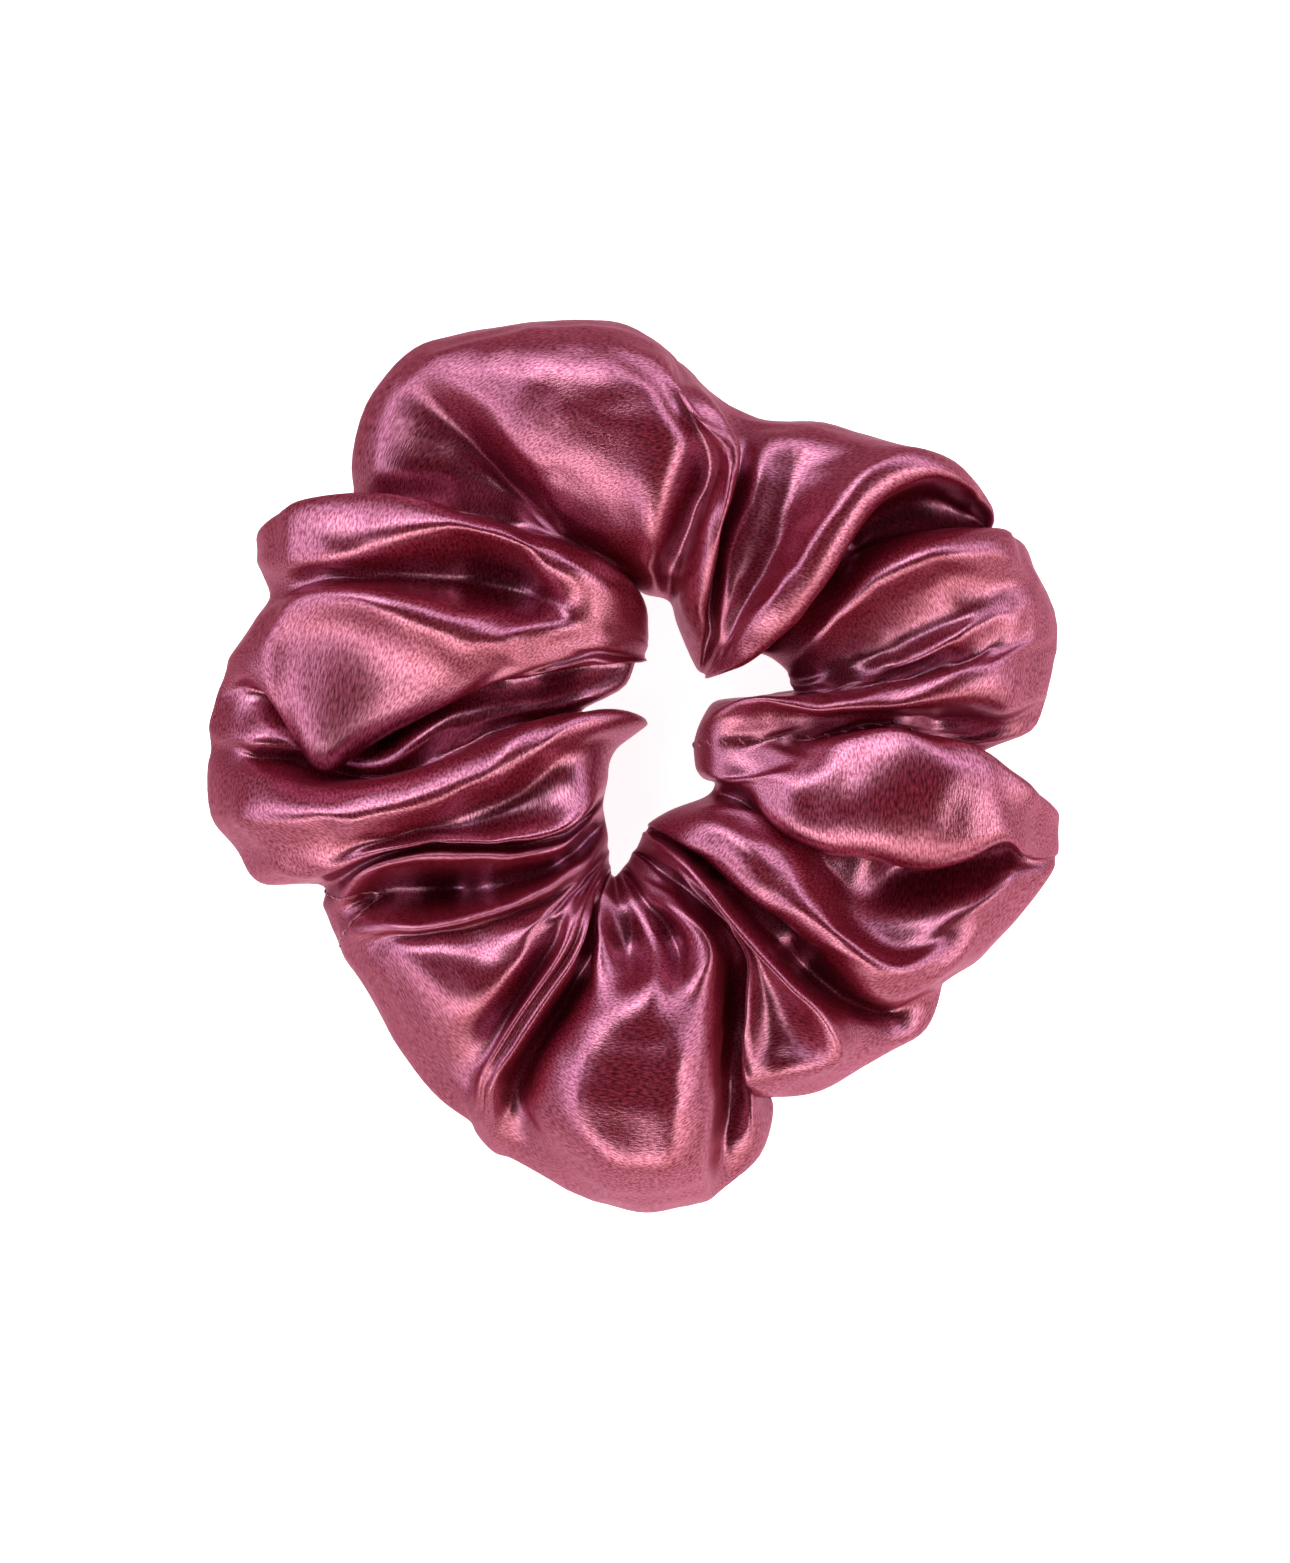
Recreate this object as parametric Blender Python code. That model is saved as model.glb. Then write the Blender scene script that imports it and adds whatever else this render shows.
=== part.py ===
"""A scrunchie: a tube of satin gathered on a loop of flat elastic.

Metres, +Z up. The scrunchie lies flat with its hole facing up, and the origin is the centre of its footprint.
Bearings are degrees round the middle of the elastic, from +X towards +Y. The sleeve and the elastic are cut
in half across the hole, on the plane that faces +X, because the right half is pulled away along +X.
"""

import math

import bmesh
import bpy
from mathutils import Matrix, Vector

# The sleeve. Its folds are (bearing, how far they stand out from the mean radius), crest and hollow by turns.
SLEEVE_RADIUS = 0.0500
SLEEVE_FOLDS = (
    (21, -0.0005), (31, -0.0030), (42, -0.0022), (75, -0.0087), (122, 0.0060), (145, -0.0005), (180, 0.0072),
    (203, -0.0035), (216, -0.0010), (228, -0.0015), (265, 0.0082), (287, -0.0035), (303, -0.0024),
    (317, -0.0045), (340, 0.0008), (356, -0.0095),
)
HOLE_RADIUS = 0.0090
HOLE_FOLDS = (
    (12, -0.0050), (27, 0.0060), (62, -0.0010), (97, 0.0080), (130, -0.0010), (155, -0.0045), (166, -0.0010), (186, -0.0048),
    (246, 0.0066), (292, -0.0010), (319, 0.0000), (345, -0.0055),
)
CREST_HEIGHT = 0.0320
VALLEY_HEIGHT = 0.0220
WALL = 0.0012
STATION_STEP = 4
SECTION_POINTS = 12
SECTION_FULLNESS = 2.6
FLOOR_SHARE = 0.82

# The elastic: a flat braided band that stands on edge, its ends lapped and tacked
ELASTIC_LOOP_LENGTH = 0.1570
ELASTIC_WIDTH = 0.0060
ELASTIC_THICKNESS = 0.0012
ELASTIC_LAP = 0.0120
LAP_RAMP = 0.0060
ELASTIC_STEP = 6

# The threads
TACK_THREAD = 0.0004
TACK_STITCHES = 8
TACK_STITCH_STEP = 0.0011
TACK_EDGE_MARGIN = 0.0012
SEAM_THREAD = 0.0006
SEAM_STEP = 8
CLOSING_THREAD = 0.0006
CLOSING_STITCH_LENGTH = 0.0016

# Clearances and cuts
CLEARANCE = 0.0003
HALVES_GAP = 0.0006
CLOSING_BEARING = 4
STITCH_STANDOFF = 0.0005
CLOSING_LIFT = STITCH_STANDOFF + CLOSING_THREAD + 2 * CLEARANCE
CLOSING_LIFT_SPREAD = 30

UP_BEARING, DOWN_BEARING = 90, 270
SHARP_ANGLE = math.radians(50)


def folded(folds, mean, bearing):
    """The radius at a bearing: a smooth wave through the fold list, level at each crest and hollow."""
    bearing %= 360
    before = max((fold for fold in folds if fold[0] <= bearing), default=folds[-1])
    after = min((fold for fold in folds if fold[0] > bearing), default=folds[0])
    span = (after[0] - before[0]) % 360
    share = ((bearing - before[0]) % 360) / span
    return mean + before[1] + (after[1] - before[1]) * (1 - math.cos(math.pi * share)) / 2


def outer_radius(bearing):
    return folded(SLEEVE_FOLDS, SLEEVE_RADIUS, bearing)


def hole_radius(bearing):
    return folded(HOLE_FOLDS, HOLE_RADIUS, bearing)


def tube_width(bearing):
    return outer_radius(bearing) - hole_radius(bearing)


def around_ring(radius, bearing):
    turn = math.radians(bearing)
    return Vector((radius * math.cos(turn), radius * math.sin(turn), 0))


def ring_centre():
    """Where the elastic's middle lies, so that the sleeve's footprint is centred on the origin."""
    rim = [around_ring(outer_radius(bearing), bearing) for bearing in range(360)]
    low = Vector(min(point[axis] for point in rim) for axis in range(3))
    high = Vector(max(point[axis] for point in rim) for axis in range(3))
    return -(low + high) / 2


CENTRE = ring_centre()
WIDTHS = [tube_width(bearing) for bearing in range(360)]
NARROWEST, WIDEST = min(WIDTHS), max(WIDTHS)
ELASTIC_RADIUS = ELASTIC_LOOP_LENGTH / (2 * math.pi)
ELASTIC_Z = VALLEY_HEIGHT / 2


def tube_height(bearing):
    """A wide puff of the gathered tube stands higher than a narrow one."""
    share = (tube_width(bearing) - NARROWEST) / (WIDEST - NARROWEST)
    return VALLEY_HEIGHT + (CREST_HEIGHT - VALLEY_HEIGHT) * share


def underside(bearing):
    """The sleeve lies on its underside, except at the closing stitches, which are drawn up clear."""
    away = abs((bearing - CLOSING_BEARING + 180) % 360 - 180) / CLOSING_LIFT_SPREAD
    return CLOSING_LIFT * max(0, 1 - away) ** 2


def section_point(bearing, share, outset=0):
    """A point on the tube's section: share runs from 0 at the outer rim, over the top, to 1."""
    turn = 2 * math.pi * share
    power = 2 / SECTION_FULLNESS
    across = math.copysign(abs(math.cos(turn)) ** power, math.cos(turn))
    upward = math.copysign(abs(math.sin(turn)) ** power, math.sin(turn))
    upward = max(upward, -FLOOR_SHARE)
    inner, outer, low = hole_radius(bearing), outer_radius(bearing), underside(bearing)
    half_height = (tube_height(bearing) - low) / (1 + FLOOR_SHARE)
    radius = (inner + outer) / 2 + ((outer - inner) / 2 + outset) * across
    height = low + half_height * FLOOR_SHARE + (half_height + outset) * upward
    if upward == -FLOOR_SHARE:
        height = low - outset
    return CENTRE + around_ring(radius, bearing) + Vector((0, 0, height))


def bearings(first, last, step):
    count = max(1, round((last - first) / step))
    return [first + (last - first) * index / count for index in range(count + 1)]


def material(name, colour, roughness, metallic=0.0):
    made = bpy.data.materials.new(name)
    made.use_nodes = True
    shader = made.node_tree.nodes["Principled BSDF"]
    shader.inputs["Base Color"].default_value = (*colour, 1)
    shader.inputs["Roughness"].default_value = roughness
    shader.inputs["Metallic"].default_value = metallic
    return made


def add_object(name, data, finish, parent):
    piece = bpy.data.objects.new(name, data)
    data.materials.append(finish)
    bpy.context.scene.collection.objects.link(piece)
    piece.parent = parent
    piece.matrix_parent_inverse = parent.matrix_basis.inverted()
    return piece


def lofted(name, rings, finish, parent, hollow):
    """A surface through rings of points: a hollow one comes back to its first ring, a solid one is capped."""
    shape = bmesh.new()
    loops = [[shape.verts.new(point) for point in ring] for ring in rings]
    following = loops[1:] + loops[:1] if hollow else loops[1:]
    for near, far in zip(loops, following):
        for index in range(len(near)):
            after = (index + 1) % len(near)
            shape.faces.new((near[index], near[after], far[after], far[index]))
    if not hollow:
        shape.faces.new(loops[0])
        shape.faces.new(loops[-1])
    bmesh.ops.recalc_face_normals(shape, faces=shape.faces)
    mesh = bpy.data.meshes.new(name)
    shape.to_mesh(mesh)
    shape.free()
    return add_object(name, mesh, finish, parent)


def beside(point, cuts):
    """Moves a point back to its own side of each cut: (bearing of the cut, 1 for past it or -1 for short, gap)."""
    for bearing, side, gap in cuts:
        normal = side * around_ring(1, bearing + 90)
        point += normal * max(0, gap / 2 - (point - CENTRE).dot(normal))
    return point


def sleeve_piece(name, first, last, cuts, finish, parent):
    """A stretch of the hollow tube between two bearings, open at both ends: its outside, then its lining."""
    places = bearings(first, last, STATION_STEP)
    route = [(bearing, 0) for bearing in places] + [(bearing, -WALL) for bearing in reversed(places)]
    rings = []
    for bearing, outset in route:
        shares = [index / SECTION_POINTS for index in range(SECTION_POINTS)]
        rings.append([beside(section_point(bearing, share, outset), cuts) for share in shares])
    piece = lofted(name, rings, finish, parent, hollow=True)
    piece.data.shade_smooth()
    piece.data.set_sharp_from_angle(angle=SHARP_ANGLE)
    return piece


def lap_shift(bearing, outwards):
    """How far a lapped end moves off the loop's radius: outwards is 1 or -1, and 0 where nothing is lapped."""
    from_middle = abs(math.radians(bearing - CLOSING_BEARING)) * ELASTIC_RADIUS
    share = min(1, max(0, (ELASTIC_LAP / 2 + LAP_RAMP - from_middle) / LAP_RAMP))
    return outwards * (ELASTIC_THICKNESS + CLEARANCE) / 2 * (1 - math.cos(math.pi * share)) / 2


def elastic_piece(name, first, last, cuts, outwards, finish, parent):
    rings = []
    for bearing in bearings(first, last, ELASTIC_STEP):
        radius = ELASTIC_RADIUS + lap_shift(bearing, outwards)
        ring = []
        for across, up in ((-1, -1), (1, -1), (1, 1), (-1, 1)):
            point = CENTRE + around_ring(radius + across * ELASTIC_THICKNESS / 2, bearing)
            point.z = ELASTIC_Z + up * ELASTIC_WIDTH / 2
            ring.append(beside(point, cuts))
        rings.append(ring)
    return lofted(name, rings, finish, parent, hollow=False)


def tack_points():
    """Where the needle goes through the lap: (bearing, height), in a zigzag along it."""
    zig = ELASTIC_WIDTH / 2 - TACK_EDGE_MARGIN
    points = []
    for index in range(TACK_STITCHES):
        along = (index - (TACK_STITCHES - 1) / 2) * TACK_STITCH_STEP
        bearing = CLOSING_BEARING + math.degrees(along / ELASTIC_RADIUS)
        points.append((bearing, ELASTIC_Z + zig * (-1) ** index))
    return points


def needle_holes(parent):
    """One cutter with a pin at each stitch, long enough to pass both lapped ends."""
    reach = 4 * ELASTIC_THICKNESS + CLEARANCE
    shape = bmesh.new()
    for bearing, height in tack_points():
        spoke = around_ring(1, bearing)
        middle = CENTRE + spoke * ELASTIC_RADIUS
        middle.z = height
        place = Matrix.Translation(middle) @ spoke.to_track_quat("Z", "Y").to_matrix().to_4x4()
        radius = TACK_THREAD / 2 + CLEARANCE
        bmesh.ops.create_cone(
            shape, cap_ends=True, segments=8, radius1=radius, radius2=radius, depth=reach, matrix=place
        )
    mesh = bpy.data.meshes.new("needle_holes")
    shape.to_mesh(mesh)
    shape.free()
    cutter = bpy.data.objects.new("needle_holes", mesh)
    bpy.context.scene.collection.objects.link(cutter)
    cutter.parent = parent
    cutter.matrix_parent_inverse = parent.matrix_basis.inverted()
    cutter.hide_render = True
    cutter.display_type = "WIRE"
    return cutter


def pierce(piece, cutter):
    cut = piece.modifiers.new("needle holes", "BOOLEAN")
    cut.operation = "DIFFERENCE"
    cut.object = cutter


def thread(name, points, diameter, finish, parent, cyclic=False):
    """A thread through points, as a bevelled curve."""
    data = bpy.data.curves.new(name, "CURVE")
    data.dimensions = "3D"
    data.bevel_depth = diameter / 2
    data.bevel_resolution = 1
    data.use_fill_caps = True
    spline = data.splines.new("POLY")
    spline.points.add(len(points) - 1)
    for spot, point in zip(spline.points, points):
        spot.co = (*point, 1)
    spline.use_cyclic_u = cyclic
    return add_object(name, data, finish, parent)


def tack(finish, parent):
    """The bar tack runs in and out through the needle holes of the lap."""
    reach = ELASTIC_THICKNESS + CLEARANCE / 2 + CLEARANCE + TACK_THREAD / 2
    points = []
    for index, (bearing, height) in enumerate(tack_points()):
        sides = (reach, -reach) if index % 2 == 0 else (-reach, reach)
        for side in sides:
            point = CENTRE + around_ring(ELASTIC_RADIUS + side, bearing)
            point.z = height
            points.append(point)
    return thread("elastic_tack", points, TACK_THREAD, finish, parent)


def seam_thread(name, first, last, cuts, finish, parent):
    """The lengthwise seam's thread, inside the tube along the middle of its floor."""
    points = []
    for bearing in bearings(first, last, SEAM_STEP):
        radius = (hole_radius(bearing) + outer_radius(bearing)) / 2
        point = CENTRE + around_ring(radius, bearing)
        point.z = underside(bearing) + WALL + CLEARANCE + SEAM_THREAD / 2
        points.append(beside(point, cuts))
    return thread(name, points, SEAM_THREAD, finish, parent)


def closing_stitches(finish, parent):
    """Ladder stitches that cross to and fro over the line where the tube's turned-in ends meet."""
    lean = math.degrees(CLOSING_STITCH_LENGTH / 2 / outer_radius(CLOSING_BEARING))
    outset = STITCH_STANDOFF + CLOSING_THREAD / 2
    count = 2 * SECTION_POINTS
    points = []
    for index in range(count):
        bearing = CLOSING_BEARING + lean * (-1) ** index
        points.append(section_point(bearing, index / count, outset))
    return thread("closing_stitches", points, CLOSING_THREAD, finish, parent, cyclic=True)


def empty(name):
    made = bpy.data.objects.new(name, None)
    made.location = CENTRE
    bpy.context.scene.collection.objects.link(made)
    return made


def build():
    for old in list(bpy.data.objects):
        bpy.data.objects.remove(old, do_unlink=True)
    satin = material("rose_satin", (0.36, 0.085, 0.135), 0.34, 0.35)
    braid = material("ivory_braid", (0.80, 0.76, 0.70), 0.85)
    cotton = material("rose_thread", (0.42, 0.12, 0.17), 0.70)
    left, right = empty("left_half"), empty("right_half")
    closing = CLOSING_BEARING
    left_cut = (UP_BEARING, 1, HALVES_GAP)
    right_cut = (UP_BEARING, -1, HALVES_GAP)
    above, below = (closing, 1, CLEARANCE), (closing, -1, CLEARANCE)

    stretches = (
        ("left", UP_BEARING, DOWN_BEARING, (left_cut,), left),
        ("upper_right", closing, UP_BEARING, (right_cut, above), right),
        ("lower_right", DOWN_BEARING - 360, closing, (right_cut, below), right),
    )
    for place, first, last, cuts, half in stretches:
        sleeve_piece(f"sleeve_{place}", first, last, cuts, satin, half)
        seam_thread(f"seam_thread_{place}", first, last, cuts, cotton, half)
    closing_stitches(cotton, right)

    lap = math.degrees(ELASTIC_LAP / 2 / ELASTIC_RADIUS)
    elastic_piece("elastic_left", UP_BEARING, DOWN_BEARING, (left_cut,), 0, braid, left)
    upper = elastic_piece("elastic_upper_end", closing - lap, UP_BEARING, (right_cut,), 1, braid, right)
    lower = elastic_piece("elastic_lower_end", DOWN_BEARING - 360, closing + lap, (right_cut,), -1, braid, right)
    cutter = needle_holes(right)
    pierce(upper, cutter)
    pierce(lower, cutter)
    tack(cotton, right)


build()
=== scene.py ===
import math

import bpy
import numpy as np
from mathutils import Matrix, Vector


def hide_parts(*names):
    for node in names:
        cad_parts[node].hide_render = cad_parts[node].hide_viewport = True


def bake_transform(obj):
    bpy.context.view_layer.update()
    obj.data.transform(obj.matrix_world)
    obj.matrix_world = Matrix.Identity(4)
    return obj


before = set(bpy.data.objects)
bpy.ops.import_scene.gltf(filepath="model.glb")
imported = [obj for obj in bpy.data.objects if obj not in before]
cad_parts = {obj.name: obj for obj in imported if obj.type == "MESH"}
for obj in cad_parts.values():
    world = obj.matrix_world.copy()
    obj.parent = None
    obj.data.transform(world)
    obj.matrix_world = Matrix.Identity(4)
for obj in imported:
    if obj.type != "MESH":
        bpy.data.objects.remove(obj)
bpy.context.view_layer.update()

mm = 0.001

# the gathered sleeve, fold by fold anticlockwise from the closing seam: each fold runs over the top of the
# tube, from the hole to the rim, as (x, y, height) in millimetres from the middle of the footprint
sleeveFolds = {
    "seamHollow": [(7.5, 2.5, 10), (10, 2.8, 15.5), (15, 3, 16.5), (21, 3.5, 17), (27, 4.3, 17),
                   (32, 4.9, 16), (36, 4, 13), (39.5, 2.5, 10), (43, 0.8, 7)],
    "seamBack": [(8, 4, 10), (10, 5, 16), (15, 5, 17.5), (22, 5, 17.5), (29, 5.5, 17), (35, 5.3, 13),
                 (40, 4.2, 11), (45, 3.2, 10), (49.5, 4.5, 7)],
    "rightCave": [(8.5, 5, 10), (10.5, 6, 16.5), (15, 6.6, 18.5), (22, 6.3, 18.5), (30, 6.6, 18),
                  (36, 6.4, 13), (41, 6.2, 12), (46, 6, 12), (51, 8, 8)],
    "rightLowerEdge": [(9.5, 6.5, 10), (12, 7.4, 17), (16, 7.7, 20), (23, 7, 20.5), (30, 7.3, 20.5),
                       (36, 7.6, 20.5), (42, 8, 19.5), (47, 7.5, 16.3), (51.2, 9.5, 10)],
    "rightLowerBand": [(11, 7.8, 9.5), (14, 8, 16), (18, 8.3, 18), (25, 8.6, 19), (32, 9.5, 20),
                       (39, 10.8, 21), (45, 12, 19.2), (49, 12.5, 15.5), (52, 13, 10)],
    "rightFirstCrease": [(18.5, 8.8, 10), (21, 9, 14), (26, 9.8, 15.5), (33, 11, 17), (39, 13, 18.8),
                         (44, 15, 18.8), (48.8, 16, 16.6), (52.2, 15.5, 10)],
    "rightFirstStreak": [(19, 9.5, 10.5), (22, 10, 14.8), (28, 11.2, 16.6), (34, 13, 19.3),
                         (39, 15.4, 20.6), (44, 17.6, 19.8), (48.8, 18.2, 17), (52.2, 17, 10)],
    "rightSecondCrease": [(19, 10, 10.5), (22.5, 11, 14.6), (28, 13, 16.2), (34, 15.4, 18), (40, 18, 19.9),
                          (44.6, 19.7, 19.5), (48.8, 20.2, 17), (51.8, 19, 10)],
    "rightSecondStreak": [(19, 10.6, 10.5), (22.3, 12, 15), (27.5, 14.8, 16.9), (33, 17.8, 18.8),
                          (39, 20.3, 20.6), (43.8, 21.5, 19.9), (48, 22, 17.2), (51, 21, 10)],
    "rightThirdCrease": [(18.8, 11, 10.5), (21.7, 13.3, 15.6), (26, 17, 18.6), (31.5, 20.5, 20.8),
                         (38, 23, 22), (43.6, 23.4, 20.8), (47.8, 23.4, 17.4), (50.3, 22.5, 10)],
    "rightCrest": [(18.5, 11.6, 10.5), (21, 14.5, 16), (25, 18.6, 20), (30, 22.6, 23), (36, 25, 24.5),
                   (42, 25.6, 22.8), (46.5, 25.2, 19), (49.3, 24, 11)],
    "rightBack": [(17, 12.8, 10), (19.5, 16, 14), (23, 20.5, 16), (28, 25, 18), (35, 27.6, 20),
                  (42, 28.2, 20), (46, 27.9, 17), (48.3, 26.3, 10)],
    "rightDeepCrease": [(15.5, 13.3, 9), (18, 16.5, 11), (21.5, 21, 12), (26, 25.5, 12), (32, 28.2, 14),
                        (38, 28.8, 15), (43, 28.8, 12), (45.5, 28.2, 7)],
    "shoulderCave": [(14.5, 13.2, 8.5), (17.5, 17, 11), (21.5, 22.5, 12.5), (26, 27.5, 13.5), (31, 31, 14),
                     (36, 32.3, 14.5), (40.5, 31.3, 12.5), (44.6, 29, 8)],
    "shoulderEdge": [(9.5, 10.9, 11), (14, 13.2, 19), (18.5, 17.2, 23), (22.5, 22.3, 25), (26, 28, 26),
                     (30, 32.6, 26), (35, 35, 25), (40, 34, 21), (44.2, 30.5, 10)],
    "shoulderBand": [(9, 10.8, 10.5), (12.4, 14.2, 19.5), (15.6, 18, 23.8), (20, 23.4, 26.3),
                     (24, 29.6, 27.2), (28.2, 34.6, 27), (33, 37.2, 25.2), (38, 36.5, 20.3),
                     (40.8, 34.8, 10)],
    "shoulderHollow": [(8.8, 11, 10.5), (10.9, 15, 18.5), (13, 19.5, 20.8), (15.7, 25, 21.8),
                       (17.8, 31, 22.3), (19.5, 36, 22.2), (21.3, 39.7, 20.5), (24, 41.8, 10)],
    "shoulderStreak": [(8.6, 11.2, 10.5), (10.1, 16, 18.5), (11.3, 21, 21.6), (12.2, 26.5, 22.4),
                       (14.4, 32, 22.8), (15.6, 36.8, 22.3), (16.9, 40.5, 19), (18, 42.3, 9)],
    "hookCrease": [(8.3, 11.4, 10.5), (9.3, 17, 16), (10, 23, 18), (11, 29, 18.8), (12.6, 34, 19.5),
                   (13.2, 38.5, 19), (12.8, 42, 15.5), (14, 43.5, 8)],
    "hookRightPleat": [(7.5, 12.5, 10), (8.5, 17, 18), (9.3, 23, 23), (10.5, 29, 26), (12, 34.5, 27),
                       (12, 38.5, 27), (10.5, 42, 26), (9, 45, 21), (9.5, 46, 10)],
    "hookLeftPleat": [(5.5, 17, 10), (6, 20.5, 17), (7.2, 25, 22), (8.8, 30, 25), (10.6, 34, 26.5),
                      (10.3, 38, 27), (8, 41, 27.5), (6, 46, 23), (7, 48.5, 10)],
    "hookValley": [(4.5, 19.5, 10), (4.5, 22.5, 14), (5.5, 26, 17), (7, 30.5, 20), (8.5, 35, 22.8),
                   (7.5, 39.3, 25.6), (5.6, 43.5, 26.6), (4, 48, 24), (4.5, 50.5, 10)],
    "hookFaintRidge": [(3.3, 20.3, 10), (2.9, 24, 18), (3.2, 28, 23), (4, 33, 25.5), (5, 37.5, 26.6),
                       (3.5, 41.5, 27.2), (1.5, 46, 27), (0.5, 50.2, 23), (1.5, 52.8, 10)],
    "crownValley": [(2.5, 20.6, 10), (1.6, 23.5, 16.5), (0.6, 28, 21.8), (0.3, 33, 24.8), (0.3, 37.5, 26.3),
                    (-1, 42, 27.1), (-3, 47, 27), (-4, 51.2, 23), (-3, 54.4, 10)],
    "crownRidge": [(1.8, 20.8, 9.5), (-1, 24, 14.5), (-4, 28, 19.3), (-5.5, 33, 22.8), (-6.8, 38, 25),
                   (-9, 43, 26), (-12, 47.5, 25.6), (-14, 51.3, 21.5), (-15, 54, 10)],
    "crownSide": [(1.5, 21, 9), (-3, 24.5, 13), (-8, 28.5, 17), (-11, 33.5, 20), (-14, 38, 21.6),
                  (-17.5, 42.5, 22), (-21.5, 46.5, 21), (-24.5, 49.3, 17.5), (-26.5, 50.8, 10)],
    "crownHollow": [(1, 21.2, 9), (-4, 25, 12), (-9.5, 28.8, 14), (-13.5, 33, 15.2), (-17.5, 37, 16),
                    (-21.5, 40.3, 16.8), (-26, 42.8, 16.8), (-30.5, 44, 14), (-32.5, 44.3, 9)],
    "crownLowerRidge": [(0.8, 21.3, 8.5), (-4.5, 25.2, 11), (-10, 28.8, 13.2), (-14.5, 32.3, 15),
                        (-19, 35.3, 16.3), (-24, 36.5, 16.9), (-29, 36.6, 16.3), (-33, 36.8, 13),
                        (-34.5, 37, 8)],
    "crownCrease": [(0.6, 21.2, 8), (-5, 25, 10.5), (-10, 28, 12), (-15, 30, 14), (-20, 31.6, 15),
                    (-25, 32.3, 15), (-30, 32.8, 13.5), (-33.5, 33, 10), (-35, 33.2, 6)],
    "curlTopEdge": [(1.6, 18, 10), (0, 21.5, 16), (-4.5, 24.8, 19), (-10, 26.6, 21), (-15, 28.3, 22),
                    (-20, 29.8, 22.5), (-26, 31.2, 22), (-33, 31.7, 21), (-40, 31, 19), (-44, 29.8, 15),
                    (-45.8, 28, 9)],
    "curlCrest": [(1.9, 16.5, 10), (-1, 20, 18), (-5.5, 23, 22.5), (-11, 25.3, 24), (-16, 27.2, 24.5),
                  (-21, 28.3, 25), (-26, 28.3, 24.5), (-32, 27.8, 23.5), (-38, 27.5, 22), (-43, 27.5, 18),
                  (-46, 26.3, 9)],
    "curlSlope": [(2, 15.5, 10), (-1.5, 18.5, 18.5), (-6, 21, 22.5), (-10.5, 22.5, 23), (-14, 24.5, 21.5),
                  (-19, 26, 21), (-24, 26, 22), (-30, 25.3, 22.5), (-37, 24.7, 22), (-43, 24.5, 18),
                  (-46, 25, 9)],
    "curlHollow": [(2, 15, 10), (-2, 17, 18.5), (-6.5, 18.7, 22), (-10, 20, 20.5), (-13.5, 21.3, 16.5),
                   (-18, 22.3, 15.5), (-23, 22.8, 17.5), (-29, 23.2, 19.5), (-36, 23, 20.5),
                   (-42, 22.3, 17), (-45.5, 23, 9)],
    "curlLip": [(2, 14.5, 10), (-2, 15.8, 18), (-6.5, 16.8, 21.5), (-10.5, 17.4, 22.5), (-14.5, 18.2, 21.5),
                (-20, 19.3, 21.5), (-26, 20.6, 22), (-33, 21.7, 22), (-39, 21.5, 20), (-43, 20.8, 16),
                (-44.8, 20.5, 9)],
    "flapBand": [(1.8, 13.8, 10), (-3, 14.3, 18), (-7.5, 15, 21), (-11.5, 15.2, 22.5), (-17, 15.6, 23.5),
                 (-23, 17, 24.5), (-30, 19, 25), (-37, 19.8, 23), (-42.5, 19.3, 19), (-46.5, 17.8, 10)],
    "flapMiddle": [(1.8, 13.3, 10), (-4, 13.3, 18), (-10, 13, 20.8), (-16, 12.5, 21.8), (-22, 12, 21.8),
                   (-28, 13, 21.9), (-35, 14.5, 21.2), (-41, 14.5, 19.1), (-46, 14, 16.2),
                   (-49.5, 13.5, 9)],
    "flapEdge": [(1.6, 12.8, 10), (-5, 12, 18.5), (-12, 11, 19.4), (-18, 9.6, 18.4), (-24, 7, 17),
                 (-30, 4, 15.9), (-35, 0.8, 15.4), (-37.8, -0.8, 15.2), (-40.5, 2.5, 15.2), (-43.5, 7, 15),
                 (-47, 10.5, 14.4), (-50.8, 10.5, 8)],
    "flapCrease": [(1, 12.8, 9), (-5, 12, 13), (-12, 11, 14), (-18, 9.8, 13.6), (-25, 8, 12.8),
                   (-31, 5, 12), (-36, 2.5, 12), (-40, 4.5, 11.8), (-44, 8.5, 12), (-48, 9.5, 11.2),
                   (-51.8, 8, 7)],
    "shadowRidge": [(-1, 9.5, 9), (-6, 8, 14), (-11, 7.3, 15.5), (-17, 6.3, 16.5), (-23, 4.6, 17),
                    (-27, 2.2, 17), (-31, 0.5, 15.5), (-36, 1, 14), (-41, 2.2, 15.5), (-46, 3.3, 16),
                    (-50.5, 3.8, 12), (-52.3, 5, 8)],
    "shadowCrease": [(-5, 7, 9), (-8, 6.5, 12), (-12, 5.6, 13.5), (-17, 4.5, 14), (-22, 2.2, 14),
                     (-26, 0, 14), (-31, -1, 13.5), (-36, -0.5, 13), (-42, 0.8, 14), (-47, 1.8, 14.5),
                     (-52.2, 3, 8)],
    "pouchEdge": [(1, 5, 10), (-1, 6.2, 15), (-5, 6, 18), (-10, 5, 20), (-15, 3.2, 21), (-20, 1, 21.5),
                  (-25, -1, 22), (-31, -2.6, 22), (-38, -3.2, 21), (-45, -2.2, 19), (-50, -1, 14),
                  (-52.3, 0, 8)],
    "pouchCrest": [(0.5, 4, 10), (-3, 4.5, 17), (-8, 3.5, 20.5), (-13, 1, 22.5), (-19, -1.8, 24),
                   (-25, -4, 25), (-32, -5.3, 25), (-39, -5.8, 24), (-46, -5.8, 21), (-50, -6, 15),
                   (-51.6, -6, 8)],
    "pouchBowl": [(-1.5, 2, 10), (-5, 2, 17), (-9, -0.5, 19), (-13, -3, 19), (-18, -4.8, 20),
                  (-24, -6.5, 22), (-31, -8, 23), (-38, -9, 22.5), (-44, -10, 19), (-48.5, -10.5, 9)],
    "pouchSlope": [(-2.5, 0.5, 10), (-5, -1, 17), (-8, -3.8, 19.5), (-12, -5.8, 19.5), (-18, -7.2, 20),
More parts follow.
